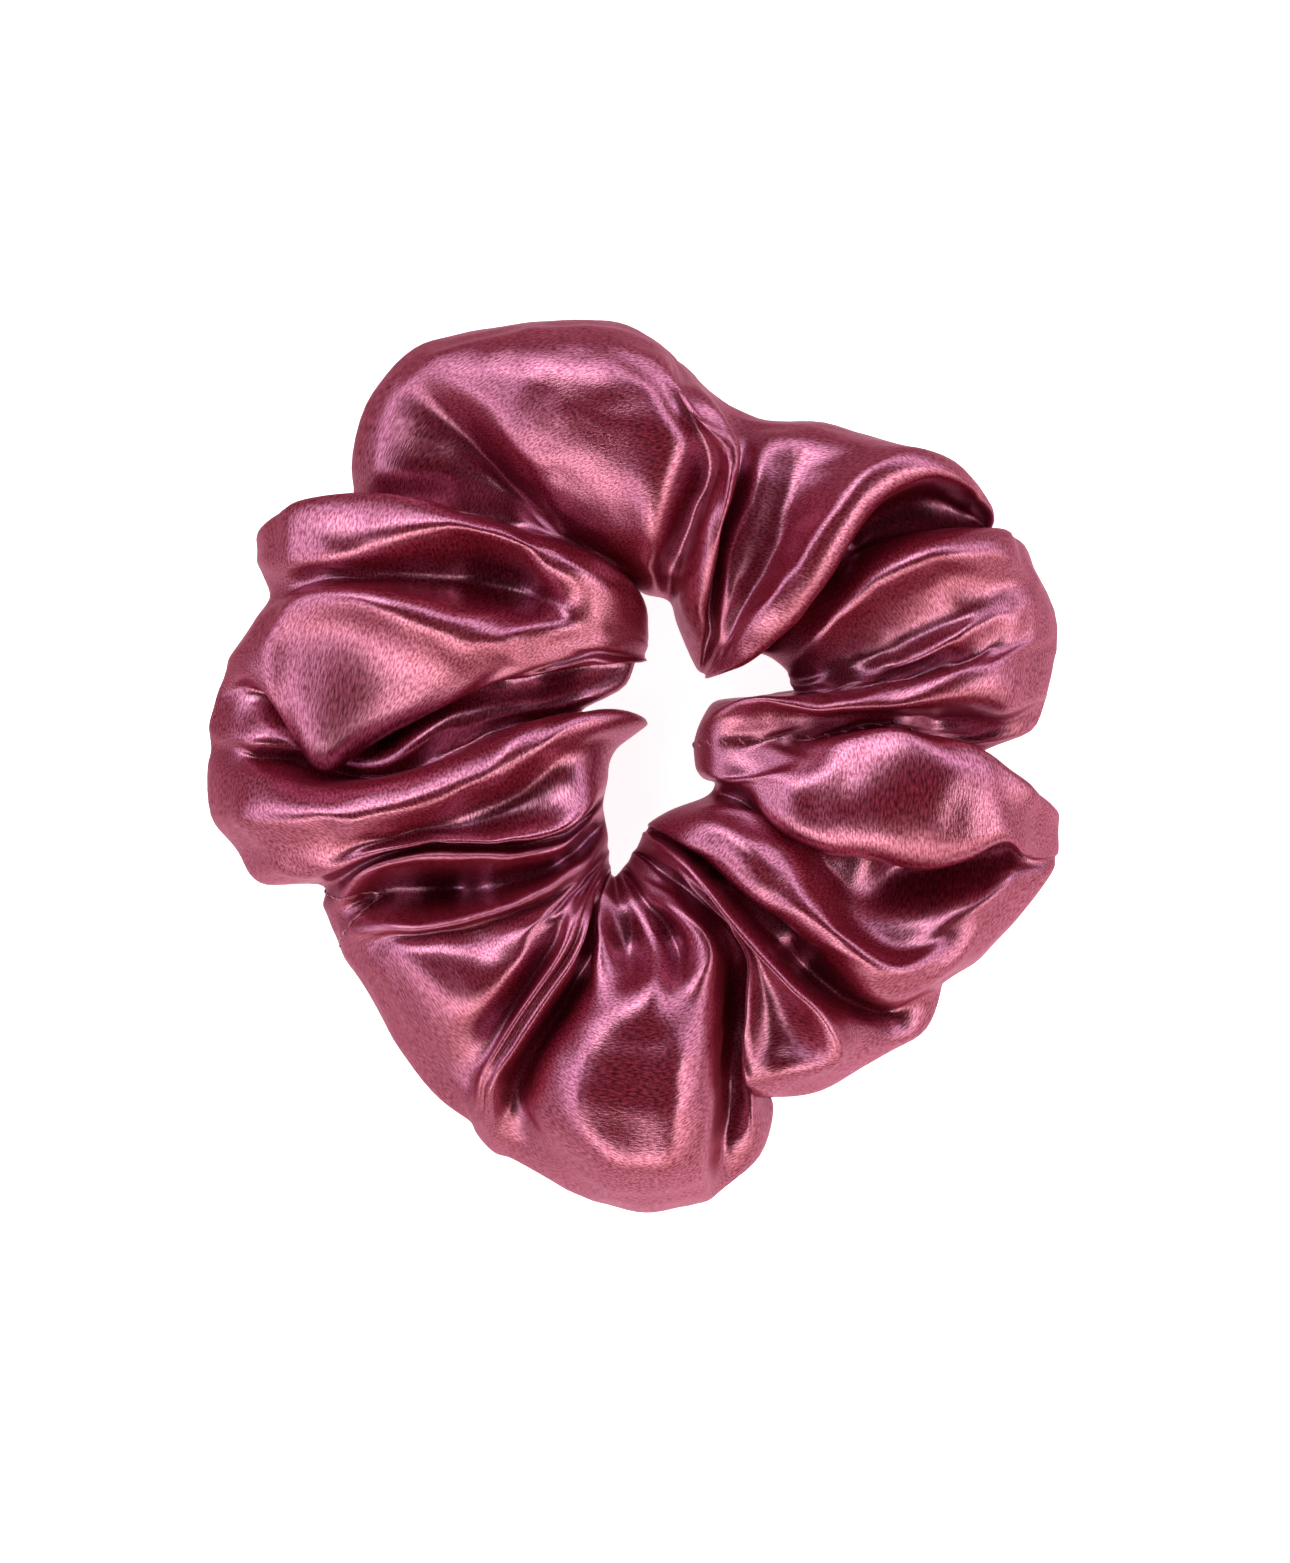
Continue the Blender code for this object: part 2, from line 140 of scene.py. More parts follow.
                   (-24.5, -7.9, 21.3), (-31, -9.3, 22), (-38, -11.3, 21), (-43.5, -12.5, 17),
                   (-47, -13, 9)],
    "pouchLip": [(-3, -1, 10), (-4.5, -3.5, 17), (-7, -6.2, 20.5), (-11, -8, 21.5), (-17, -8.9, 22),
                 (-24, -9.2, 22.5), (-31, -10.5, 22.5), (-37, -12.7, 20), (-42, -14, 15), (-45, -14.5, 9)],
    "lipCrease": [(-3.3, -3, 9), (-5, -5.5, 14), (-8, -8, 17), (-12, -9.5, 18.5), (-18, -10, 19),
                  (-25, -10.2, 19.5), (-31, -11.6, 19), (-36, -14, 15), (-38.3, -15, 8)],
    "eyeTop": [(-3.5, -4.5, 10), (-5.5, -7, 16), (-9, -9.8, 19.5), (-14, -11, 21), (-20, -11.2, 21.5),
               (-27, -11.6, 21.5), (-32, -13, 21), (-35.5, -15.5, 17), (-38.3, -17, 9)],
    "eyeHollow": [(-3.3, -6, 9), (-5.5, -9, 12.5), (-10, -12.3, 13), (-15, -14, 12), (-20, -14.8, 12),
                  (-25, -15.2, 12.5), (-30, -15.6, 15.5), (-34.5, -17.5, 15.5), (-37.5, -19, 9)],
    "eyeBottom": [(-3, -8.5, 10), (-6, -11.5, 17), (-10, -14.4, 19.5), (-15, -16.8, 20.5), (-20, -18.4, 21),
                  (-25, -19.3, 21), (-30, -19.6, 20), (-34, -20.5, 16.5), (-36.5, -21.3, 9)],
    "eyeCrease": [(-3, -9.5, 10), (-6, -12.8, 16.5), (-10, -15.6, 18.5), (-15, -18, 19), (-20, -19.7, 19.5),
                  (-25, -20.6, 19.5), (-30, -21.3, 18.5), (-33.5, -23, 15), (-35.3, -24, 9)],
    "cheekRidge": [(-2.9, -10, 10), (-6, -13.8, 17), (-9.5, -16.3, 19.5), (-13, -18.8, 20.5),
                   (-18, -21.8, 21), (-23, -22.5, 21), (-28, -23.3, 20), (-31.5, -26, 15.5),
                   (-33, -27.5, 9)],
    "cheek": [(-2.8, -10.5, 10), (-5.5, -14.5, 17), (-8.5, -17.5, 20), (-11.5, -21, 21), (-15, -25.5, 21.5),
              (-19, -29.5, 21), (-23, -32, 19), (-26.5, -34.5, 14), (-28, -36, 9)],
    "cheekValley": [(-2.8, -11, 10), (-5.3, -14.8, 17), (-7.8, -18.3, 20.5), (-9.5, -21.5, 19.5),
                    (-12.5, -26, 18.5), (-16, -31, 18.5), (-19.5, -36, 17.5), (-22.5, -39.5, 13),
                    (-24, -41, 9)],
    "pinchLeft": [(-2.8, -11.5, 10), (-5, -15, 17), (-6.8, -18.5, 21), (-8.3, -22, 22), (-11.8, -27, 22),
                  (-15.5, -32.5, 22), (-18.3, -37, 21), (-19.8, -41, 16.5), (-20.5, -43.5, 9)],
    "pinchGroove": [(-2.7, -12, 10), (-4.8, -15.5, 16.5), (-6.2, -19, 20), (-7.5, -22.5, 20.8),
                    (-11, -27.5, 21), (-14.6, -33, 21), (-17.4, -37.5, 20.5), (-18.8, -42, 17),
                    (-19.3, -45, 9)],
    "pinchRight": [(-2.6, -12.3, 10), (-4.6, -16, 16.5), (-5.6, -19.5, 20.5), (-6.6, -23, 21.5),
                   (-10, -28, 21.5), (-13.6, -33.5, 21.5), (-16.4, -38, 21), (-17.6, -43, 17.5),
                   (-17, -47.5, 9)],
    "pinchShadow": [(-2.6, -12.8, 9), (-4, -17, 13), (-4.6, -22, 14.5), (-7.5, -28, 15.2), (-11.5, -34, 16),
                    (-13.8, -39, 16.5), (-14.3, -43.5, 16), (-14, -49, 9)],
    "bellLeft": [(-2.6, -13, 9.5), (-3.6, -17.5, 16), (-3.8, -22.5, 19.5), (-6, -29, 20.5),
                 (-10, -36, 20.5), (-11, -42, 20), (-9.3, -47, 17.5), (-8, -52.3, 9)],
    "bellDimple": [(-2.3, -13.2, 9.5), (-1.5, -17, 14), (-0.3, -21.5, 15.5), (-1, -27.5, 23),
                   (-4.2, -34, 24.3), (-5.5, -41, 24.6), (-3.5, -47.8, 22.8), (-3, -54, 9.5)],
    "bellMiddle": [(-2, -13, 9.5), (0, -17, 15.5), (2.4, -21.5, 19), (2.5, -27, 24), (0.8, -34, 25),
                   (0, -42, 25.2), (0.5, -48.5, 23.2), (1.5, -54.8, 9.5)],
    "bellCrest": [(-1.7, -12.6, 9.5), (1.5, -17, 14.5), (4.8, -21.8, 17), (5.2, -27, 22.8), (4.6, -34, 25),
                  (4.2, -42, 25.4), (4.2, -48.5, 23), (5.5, -54.3, 9.5)],
    "bellRidge": [(-1.3, -12.2, 10), (2.5, -16, 17), (6.5, -19.3, 20.5), (8.7, -22, 21.5), (9, -28, 21.6),
                  (8.9, -35, 22), (8.8, -42, 22), (8.4, -48.5, 19.3), (9, -53.5, 9.5)],
    "bellRight": [(-0.8, -11.6, 10), (3.5, -15, 16.5), (8, -18.8, 19), (11, -22.5, 17), (11.9, -29, 14),
                  (11.8, -36, 13.2), (11.8, -43, 12.6), (11.6, -48.5, 11.5), (12.2, -51.5, 8.5)],
    "bellBack": [(-0.5, -11, 10), (4, -14, 15.5), (9, -18, 16.5), (12.5, -22.5, 14), (13.6, -29, 13),
                 (13.8, -36, 13.6), (14.3, -42, 14.6), (14.8, -46, 12.5), (15.5, -48.2, 8)],
    "skirtCrease": [(-0.3, -10.6, 9.5), (4.5, -13.3, 14.5), (9.5, -17.3, 15), (13.5, -22, 12.5),
                    (15.3, -28.5, 11), (15.5, -35, 10.5), (16, -39.5, 10), (17.5, -42, 7)],
    "skirtEdge": [(0, -10.3, 10), (5, -13, 17), (10, -17.3, 19.5), (13.8, -22.5, 18.5), (14, -29, 19),
                  (13.8, -35, 19), (14.2, -39, 17), (15.5, -41.2, 9)],
    "skirtHollow": [(0.3, -10, 10), (5, -12, 17.5), (10, -16.5, 19), (14.5, -22, 18), (17, -27.5, 16.5),
                    (18.3, -33, 16), (18.5, -37, 16.5), (19, -40.8, 9)],
    "skirtRidge": [(0.8, -9, 10), (4.5, -10.8, 18), (9, -15.3, 21.5), (14, -21.5, 22.5),
                   (18.5, -26.5, 22.5), (22.5, -31, 22), (24, -35, 20), (23, -38, 15), (23.3, -39.8, 9)],
    "skirtSlope": [(1, -8.3, 10), (6, -10.8, 17), (11, -15.3, 18), (16, -20.8, 17.5), (20.5, -26, 17),
                   (25.5, -30.5, 16.5), (29, -34, 14), (30, -36.2, 8.5)],
    "hemCrease": [(1.2, -8, 9.5), (7, -10, 14.5), (12.5, -14.5, 13), (17, -19.3, 12), (21, -24.5, 12),
                  (26, -28.8, 11), (31, -31, 11), (34.5, -32.3, 10), (36, -32.5, 7)],
    "hemBack": [(1.5, -7.6, 9.5), (8, -9.3, 15), (13.5, -13.5, 14.5), (18, -18.3, 13.5), (22, -23.5, 14),
                (27, -28.3, 13), (32, -29.8, 11.5), (36, -29, 10), (38, -28.5, 7)],
    "hemEdge": [(2, -7, 10), (6, -9, 17), (10.5, -12, 19), (15, -15.8, 20), (19.5, -19, 20.5),
                (24.5, -22.8, 21), (28.5, -26.5, 20), (32.5, -28, 18), (36.5, -27.2, 14), (38.5, -26.5, 8)],
    "hemCrest": [(4, -5.8, 10), (8, -7, 18), (13, -9.5, 21), (17, -13, 22), (21, -17, 22.5),
                 (25.5, -20.8, 22.5), (30.5, -24, 22), (36, -24.5, 19.5), (41, -23.5, 15), (43, -23.3, 8)],
    "hemLine": [(6, -4.9, 10), (10, -5.5, 17), (15, -7.5, 19), (20, -10.5, 19), (24, -15, 18),
                (27.5, -19.5, 18), (32.5, -21.8, 18), (38.5, -20.3, 18), (44, -18.3, 15.5),
                (48.3, -17.8, 9)],
    "pocketFloor": [(8, -4, 10), (12, -4.8, 16), (17, -6.8, 17), (22, -10, 15.5), (26, -13.5, 14.5),
                    (30, -16.3, 15), (35, -17.3, 16), (41, -15.8, 17), (47, -13.5, 15), (51.7, -13.3, 9)],
    "pocketCrease": [(9, -3.2, 9.5), (13, -4.3, 14), (18, -7, 14), (23, -10, 12.5), (29, -11.8, 11.5),
                     (35, -12, 11.5), (40.5, -11, 12), (45, -10, 13), (49, -11.3, 13), (52.3, -11.8, 8.8)],
    "awningEdge": [(9.5, -2.2, 10), (13, -3, 16.5), (16.5, -6.2, 19), (21, -8.7, 20.2), (28, -10, 20.9),
                   (35, -11.6, 20.6), (40, -10.8, 20.8), (45, -8.8, 20.3), (47.5, -10.3, 17.8),
                   (50.3, -10.7, 13.5), (52.6, -10.2, 9)],
    "awningLower": [(8.8, -1.8, 10), (13, -2.2, 17.3), (18, -3.8, 20.6), (24, -5.5, 22.4), (31, -6.5, 23.3),
                    (38, -6.8, 23.1), (44, -6.3, 21.9), (49, -7.6, 16.5), (52.4, -8.7, 9.5)],
    "awningMiddle": [(8.3, -1.3, 10), (12.5, -1.8, 17.5), (18, -1.8, 20.5), (25, -1.6, 22.5),
                     (32, -1.6, 24), (38, -2.3, 24), (44, -3.6, 22), (49, -5.6, 17), (52.3, -7.2, 9.5)],
    "awningTop": [(7.8, -0.3, 10), (9.5, -1, 15), (14, -1.4, 18), (20, 0, 20), (27, 2.3, 22), (32, 2.9, 23),
                  (36, 1.6, 23), (41, 1, 22), (46, -1.8, 20), (49.6, -4, 17), (51.7, -5.6, 10)],
}

sleeve = {
    "acrossTop": 30,  # steps of cloth from the hole over the top to the rim
    "acrossUnder": 14,
    "columnSpacing": 1.45,
    "crestHeight": 29,
    "rimHeight": 10,
    "rimEase": 0.10,  # the outer slopes are drawn down by this share, from rimEaseFrom of the way out
    "rimEaseFrom": 0.55,
    "rimEaseOver": 0.38,
    "underShares": (0.10, 0.32, 0.62, 0.88),  # the way back underneath, from the rim to the hole
    "underHeights": (4.6, 3.0, 3.0, 4.8),
    "underLift": 0.04,  # a low fold hangs less deep
    "pleatColumns": 5.5,
    "pleatDepth": 3.3,
    "pleatUneven": ((0.35, 0.37, 0), (0.25, 0.11, 1)),  # strength, rate and start of each sway
    "pleatSkew": 0.9,
    "pleatStart": 0.10,  # from the rim, and how far each end of a gather fades
    "pleatStartFade": 0.22,
    "pleatEnd": 0.97,
    "pleatEndFade": 0.15,
    "lowest": 0.55,
    "crisp": 0.8,
    "crispReach": 2.6,
    "crispMost": 1.3,
    "crispUnder": 0.4,
    "flatWidth": 0.108,
    "flatLength": 0.430,
    "clothThickness": 0.25,
}


def eased(share):
    # a share from 0 to 1 that leaves and arrives gently
    share = np.clip(share, 0, 1)
    return share * share * (3 - 2 * share)


def ramp(value):
    return min(max(value, 0), 1)


def lengthsAlong(line):
    # how far along the line each of its points lies
    return np.concatenate([[0], np.cumsum(np.linalg.norm(np.diff(line, axis=0), axis=1))])


def curveThrough(points, shares):
    # closed centripetal Catmull-Rom, which passes through every point and doesn't overshoot at close ones
    points = np.asarray(points, float)
    count = len(points)
    padded = np.vstack([points[-1], points, points[0], points[1]])
    knots = np.concatenate([[0], np.cumsum(np.sqrt(np.linalg.norm(np.diff(padded, axis=0), axis=1)) + 1e-6)])
    made = []
    for share in shares:
        index = min(int(share), count - 1)
        t0, t1, t2, t3 = knots[index:index + 4]
        p0, p1, p2, p3 = padded[index:index + 4]
        t = t1 + (share - index) * (t2 - t1)
        a1 = (t1 - t) / (t1 - t0) * p0 + (t - t0) / (t1 - t0) * p1
        a2 = (t2 - t) / (t2 - t1) * p1 + (t - t1) / (t2 - t1) * p2
        a3 = (t3 - t) / (t3 - t2) * p2 + (t - t2) / (t3 - t2) * p3
        b1 = (t2 - t) / (t2 - t0) * a1 + (t - t0) / (t2 - t0) * a2
        b2 = (t3 - t) / (t3 - t1) * a2 + (t - t1) / (t3 - t1) * a3
        made.append((t2 - t) / (t2 - t1) * b1 + (t - t1) / (t2 - t1) * b2)
    return np.array(made)


def evenly(line, count):
    # count points spaced evenly along a dense line, both ends kept
    lengths = lengthsAlong(line)
    wanted = np.linspace(0, lengths[-1], count)
    return np.column_stack([np.interp(wanted, lengths, line[:, axis]) for axis in range(3)])


def foldLoop(top):
    # one turn round the tube: over the top from the hole to the rim, then back underneath
    top = np.array(top, float)
    hole, rim = top[0], top[-1]
    across = lengthsAlong(top[:, :2])
    outer = eased((across / across[-1] - sleeve["rimEaseFrom"]) / sleeve["rimEaseOver"])
    easing = sleeve["rimEase"] * outer
    easing[-1] = 0
    top[:, 2] -= np.maximum(top[:, 2] - sleeve["rimHeight"], 0) * easing
    lift = sleeve["underLift"] * (sleeve["crestHeight"] - top[2:-2, 2].mean())
    under = []
    for share, height in zip(sleeve["underShares"], sleeve["underHeights"]):
        spot = rim + (hole - rim) * share
        under.append((spot[0], spot[1], height + lift))
    loop = np.vstack([top, under])
    fineness = 20  # steps of the smooth line between two chosen points
    dense = curveThrough(loop, np.arange(0, len(loop), 1 / fineness))
    rimStart = (len(top) - 1) * fineness
    topLine = evenly(dense[:rimStart + 1], sleeve["acrossTop"] + 1)
    underLine = evenly(np.vstack([dense[rimStart:], dense[:1]]), sleeve["acrossUnder"] + 1)
    return np.vstack([topLine[:-1], underLine[:-1]])


def sleeveGrid():
    loops = np.array([foldLoop(top) for top in sleeveFolds.values()])
    following = np.roll(loops, -1, axis=0)
    gaps = np.linalg.norm(following - loops, axis=2).mean(axis=1)
    counts = [max(2, round(gap / sleeve["columnSpacing"])) for gap in gaps]
    shares = [index + step / count for index, count in enumerate(counts) for step in range(count)]
    rows = [curveThrough(loops[:, row], shares) for row in range(loops.shape[1])]
    return np.stack(rows, axis=1), counts


elastic = {
    "centre": (4.63, 3.74),
    "radius": 25.0,
    "low": 8.0,
    "high": 14.0,
    "thickness": 1.2,
    "room": 1.7,  # between the band and the cloth over or under it
    "roomReach": 2.4,  # the room is whole this far from the band, and fades over roomFade
    "roomFade": 5.0,
    "lap": 12.0,
    "lapShare": 0.14,  # of the band's length, where one end rides up on the other, over lapFade
    "lapFade": 0.08,
    "ribs": 7,
    "ribDepth": 0.16,
    "steps": 240,
    "tackHeights": (9.2, 11.0, 12.8),
    "tackReach": 3.5,
    "tackSlant": 1.1,
    "tackThread": (0.35, 0.3),
    "tackRise": ((-1, 0.7), (-0.6, 1.45), (0, 1.55), (0.6, 1.45), (1, 0.7)),
}
seam = {
    # how far round the loop, from the hole over the top, the lengthwise seam lies at some folds
    "places": {"seamHollow": 0.80, "hookValley": 0.76, "crownRidge": 0.70, "crownSide": 0.69,
               "curlTopEdge": 0.76, "flapEdge": 0.82, "pouchBowl": 0.72, "pouchLip": 0.74, "lipCrease": 0.72,
               "eyeTop": 0.61, "eyeHollow": 0.50, "eyeBottom": 0.61, "eyeCrease": 0.73, "cheek": 0.76,
               "bellCrest": 0.80, "hemEdge": 0.82},
    "stitch": 2.2,
    "gap": 0.35,
    "thread": 0.26,
    "threadFlat": 0.8,
    "rise": 0.10,
    "dip": (-0.6, 0.7, 1.0, 0.7, -0.6),  # each stitch goes into the cloth at both its ends
}
closingSeam = {"stitch": 2.2, "gap": 0.2, "width": 0.8, "slant": 0.35}


def clearElastic(places):
    # over the top the cloth lies on the elastic, and underneath it hangs clear of it
    away = np.abs(np.hypot(places[..., 0] - elastic["centre"][0], places[..., 1] - elastic["centre"][1])
                  - elastic["radius"])
    share = eased(1 - (away - elastic["roomReach"]) / elastic["roomFade"])
    height = places[..., 2]
    rowNumbers = np.arange(places.shape[1])
    overTop = ((rowNumbers > 2) & (rowNumbers < sleeve["acrossTop"] - 2))[None, :]
    under = ((rowNumbers > sleeve["acrossTop"] + 1) & (rowNumbers < places.shape[1] - 1))[None, :]
    lift = np.maximum(0, elastic["high"] + elastic["room"] - height) * overTop
    drop = np.maximum(0, height - (elastic["low"] - elastic["room"])) * under
    places[..., 2] += (lift - drop) * share
    return places


def pleatUnder(places):
    # the gathers that run across the tube's floor, uneven in width as gathers are
    columns, rows = places.shape[:2]
    start = sleeve["acrossTop"]
    sways = sleeve["pleatUneven"]
    drift = np.cumsum([sum((strength * math.sin(column * rate + begin) for strength, rate, begin in sways), 1)
                       for column in range(columns)])
    turns = round(columns / sleeve["pleatColumns"])
    phase = 2 * math.pi * turns * drift / drift[-1]
    for row in range(start - 1, rows):
        share = (row - start + 1) / (rows - start + 1)
        weight = (ramp((share - sleeve["pleatStart"]) / sleeve["pleatStartFade"])
                  * ramp((sleeve["pleatEnd"] - share) / sleeve["pleatEndFade"]))
        bend = sleeve["pleatSkew"] * math.sin(3 * share + 1)
        places[:, row, 2] += sleeve["pleatDepth"] * weight * np.sin(phase + bend)
    places[:, :, 2] = np.maximum(places[:, :, 2], sleeve["lowest"])
    return places


def seamRows(columns, rows):
    # the row of the grid where the seam lies in each column
    names = list(sleeveFolds)
    known = sorted((names.index(name), share) for name, share in seam["places"].items())
    at = [place for place, share in known]
    shares = [share for place, share in known]
    wrappedAt = [at[-1] - len(names)] + at + [at[0] + len(names)]
    wrappedShares = [shares[-1]] + shares + [shares[0]]
    starts = np.concatenate([[0], np.cumsum(foldColumns)])
    wanted = []
    for column in range(columns + 1):
        fold = min(np.searchsorted(starts, column, side="right") - 1, len(names) - 1)
        place = fold + (column - starts[fold]) / foldColumns[fold]
        wanted.append(np.interp(place, wrappedAt, wrappedShares) * rows)
    return np.array(wanted)


def onlySelect(piece):
    bpy.ops.object.select_all(action="DESELECT")
    piece.select_set(True)
    bpy.context.view_layer.objects.active = piece


def newPiece(name, places, faces):
    mesh = bpy.data.meshes.new(name)
    mesh.from_pydata(places, [], faces)
    mesh.validate()
    piece = bpy.data.objects.new(name, mesh)
    bpy.context.scene.collection.objects.link(piece)
    return piece


def faceOutward(piece):
    onlySelect(piece)
    bpy.ops.object.mode_set(mode="EDIT")
    bpy.ops.mesh.select_all(action="SELECT")
    bpy.ops.mesh.normals_make_consistent(inside=False)
    bpy.ops.object.mode_set(mode="OBJECT")


def makeSheet(name, grid):
    columns, rows = grid.shape[:2]
    faces = []
    for column in range(columns):
        nextColumn = (column + 1) % columns
        for row in range(rows):
            nextRow = (row + 1) % rows
            faces.append((column * rows + row, column * rows + nextRow,
                          nextColumn * rows + nextRow, nextColumn * rows + row))
    piece = newPiece(name, (grid.reshape(-1, 3) * mm).tolist(), faces)
    layer = piece.data.uv_layers.new(name="cloth")
    seamAt = seamRows(columns, rows)
    # the cloth's length follows the real spacing of the columns over the top, and no column is without cloth
    leastCloth = 0.4
    spacing = np.linalg.norm(np.roll(grid, -1, axis=0) - grid, axis=2)
    steps = spacing[:, 10:sleeve["acrossTop"]].mean(axis=1) + leastCloth
    along = np.concatenate([[0], np.cumsum(steps)]) / steps.sum() * sleeve["flatLength"]
    for polygon in piece.data.polygons:
        column, row = divmod(polygon.index, rows)
        corners = ((column, row), (column, row + 1), (column + 1, row + 1), (column + 1, row))
        for loopIndex, (at, around) in zip(polygon.loop_indices, corners):
            layer.data[loopIndex].uv = (along[at], (around - seamAt[at]) / rows * sleeve["flatWidth"])
    return piece


def crispFolds(places):
    # draws each fold's crest and crease a little tighter than the smooth curve through it
    reach = np.arange(-6, 7)  # columns to each side
    weights = np.exp(-(reach / sleeve["crispReach"]) ** 2 / 2)
    weights /= weights.sum()
    smooth = sum(weight * np.roll(places, -shift, axis=0) for weight, shift in zip(weights, reach))
    change = (places - smooth) * sleeve["crisp"]
    size = np.linalg.norm(change, axis=2, keepdims=True)
    change *= np.minimum(1, sleeve["crispMost"] / np.maximum(size, 1e-6))
    rowShare = np.ones(places.shape[1])
    rowShare[sleeve["acrossTop"] - 4:] = sleeve["crispUnder"]
    change *= rowShare[None, :, None]
    return places + change


grid, foldColumns = sleeveGrid()
grid = clearElastic(pleatUnder(crispFolds(grid)))
satinSleeve = makeSheet("satin_sleeve", grid)
faceOutward(satinSleeve)
settling = {
    "frames": 18,
    "growth": 0.025,
    "pressure": 1.5,
    "enlarge": 10,
    "cap": 3.0,
    "heldRows": 4,  # on each side of the hole
    "hold": 0.5,
    "cloth": {"quality": 5, "mass": 0.15, "tension_stiffness": 12, "compression_stiffness": 12,
              "shear_stiffness": 4, "bending_stiffness": 0.4, "air_damping": 2, "pin_stiffness": 1.0},
}


def settleCloth(piece):
    # the folds buckle a little, as gathered satin does; enlarged so that the solver's gaps are fine enough
    start = np.array([vertex.co[:] for vertex in piece.data.vertices])
    piece.data.transform(Matrix.Scale(settling["enlarge"], 4))
    group = piece.vertex_groups.new(name="held")
    rowCount = grid.shape[1]
    everywhere = range(len(piece.data.vertices))
    byHole = [index for index in everywhere
              if not settling["heldRows"] <= index % rowCount < rowCount - settling["heldRows"]]
    group.add(everywhere, settling["hold"], "REPLACE")
    group.add(byHole, 1.0, "REPLACE")
    cloth = piece.modifiers.new("cloth", "CLOTH")
    for label, value in settling["cloth"].items():
        setattr(cloth.settings, label, value)
    cloth.settings.vertex_group_mass = "held"
    cloth.settings.shrink_min = -settling["growth"]
    cloth.settings.use_pressure = True
    cloth.settings.uniform_pressure_force = settling["pressure"]
    cloth.settings.effector_weights.gravity = 0
    cloth.collision_settings.use_collision = False
    cloth.collision_settings.use_self_collision = True
    cloth.collision_settings.self_distance_min = 0.004
    cloth.collision_settings.self_friction = 2
    cloth.point_cache.frame_start, cloth.point_cache.frame_end = 1, settling["frames"]
    bpy.context.scene.frame_end = settling["frames"]
    for frameNumber in range(1, settling["frames"] + 1):
        bpy.context.scene.frame_set(frameNumber)
    onlySelect(piece)
    bpy.ops.object.modifier_apply(modifier=cloth.name)
    piece.data.transform(Matrix.Scale(1 / settling["enlarge"], 4))
    piece.vertex_groups.clear()
    moved = 0
    for vertex, place in zip(piece.data.vertices, start):
        shift = vertex.co - Vector(place)
        moved = max(moved, shift.length)
        if shift.length > settling["cap"] * mm:
            vertex.co = Vector(place) + shift * (settling["cap"] * mm / shift.length)
    bpy.context.scene.frame_set(1)
    print("sleeve settled, furthest move", round(moved / mm, 2), "mm")


settleCloth(satinSleeve)
settled = np.array([[axis / mm for axis in vertex.co] for vertex in satinSleeve.data.vertices])
coarse = clearElastic(settled.reshape(grid.shape))
for vertex, place in zip(satinSleeve.data.vertices, coarse.reshape(-1, 3)):
    vertex.co = Vector(place) * mm


def applyModifier(piece, kind, **settings):
    onlySelect(piece)
    modifier = piece.modifiers.new(kind.lower(), kind)
    for label, value in settings.items():
        setattr(modifier, label, value)
    bpy.ops.object.modifier_apply(modifier=modifier.name)


applyModifier(satinSleeve, "SUBSURF", levels=1, render_levels=1)
print("sleeve sheet:", grid.shape, len(satinSleeve.data.polygons), "faces")


def sweep(verts, faces, path, ups, wide, high, sides=6, ribs=0):
    # adds a rod or strip with closed ends along the path: wide across it, high along ups
    base = len(verts)
    path = [Vector(point) for point in path]
    for index, point in enumerate(path):
        ahead = (path[min(index + 1, len(path) - 1)] - path[max(index - 1, 0)]).normalized()
        up = Vector(ups[index])
        up = (up - ahead * up.dot(ahead)).normalized()
        side = ahead.cross(up)
        for step in range(sides):
            turn = 2 * math.pi * step / sides
            across, over = math.cos(turn), math.sin(turn)
            if ribs:
                # a flat band: squarer corners and a cord at each rib
                across = math.copysign(abs(across) ** 0.6, across)
                groove = elastic["ribDepth"] * abs(math.sin(across * ribs * math.pi / 2))
                over = math.copysign(abs(over) ** 0.45, over) * (1 - groove)
            verts.append(point + side * (across * wide / 2) + up * (over * high / 2))
    for index in range(len(path) - 1):
        for step in range(sides):
            following = (step + 1) % sides
            faces.append((base + index * sides + step, base + index * sides + following,
                          base + (index + 1) * sides + following, base + (index + 1) * sides + step))
    faces.append(tuple(base + step for step in reversed(range(sides))))
    faces.append(tuple(base + (len(path) - 1) * sides + step for step in range(sides)))


def makePiece(name, verts, faces):
    piece = newPiece(name, [tuple(place) for place in verts], faces)
    faceOutward(piece)
    bpy.ops.object.shade_smooth_by_angle(angle=math.radians(50))
    return piece


def stitchLine(name, route, pitch, gapShare, turned=0):
    # short stitches along a line on the cloth, or across it where they are turned
    route = np.array(route)
    spacing = 0.2
    route = evenly(route, max(2, int(lengthsAlong(route)[-1] / spacing)))
    lengths = lengthsAlong(route)
    verts, faces = [], []
    for number in range(int(lengths[-1] / pitch)):
        start, end = number * pitch, (number + 1 - gapShare) * pitch
        centres = [Vector([np.interp(at, lengths, route[:, axis]) for axis in range(3)]) * mm
                   for at in np.linspace(start, end, len(seam["dip"]))]
        if turned:
            middle = centres[2]
            run = (centres[-1] - centres[0]).normalized()
            hit, spot, normal, face = satinSleeve.closest_point_on_mesh(middle)
            side = run.cross(normal).normalized()
            slant = closingSeam["slant"] * pitch
            centres = [middle + side * (turned * (share - 0.5)) * mm + run * (slant * (share - 0.5)) * mm
                       for share in np.linspace(0, 1, len(seam["dip"]))]
        path, ups = [], []
        for centre, rise in zip(centres, seam["dip"]):
            hit, spot, normal, face = satinSleeve.closest_point_on_mesh(centre)
            path.append(spot + normal * (rise * seam["rise"] * mm))
            ups.append(normal)
        sweep(verts, faces, path, ups, seam["thread"] * mm, seam["thread"] * seam["threadFlat"] * mm)
    return makePiece(name, verts, faces)


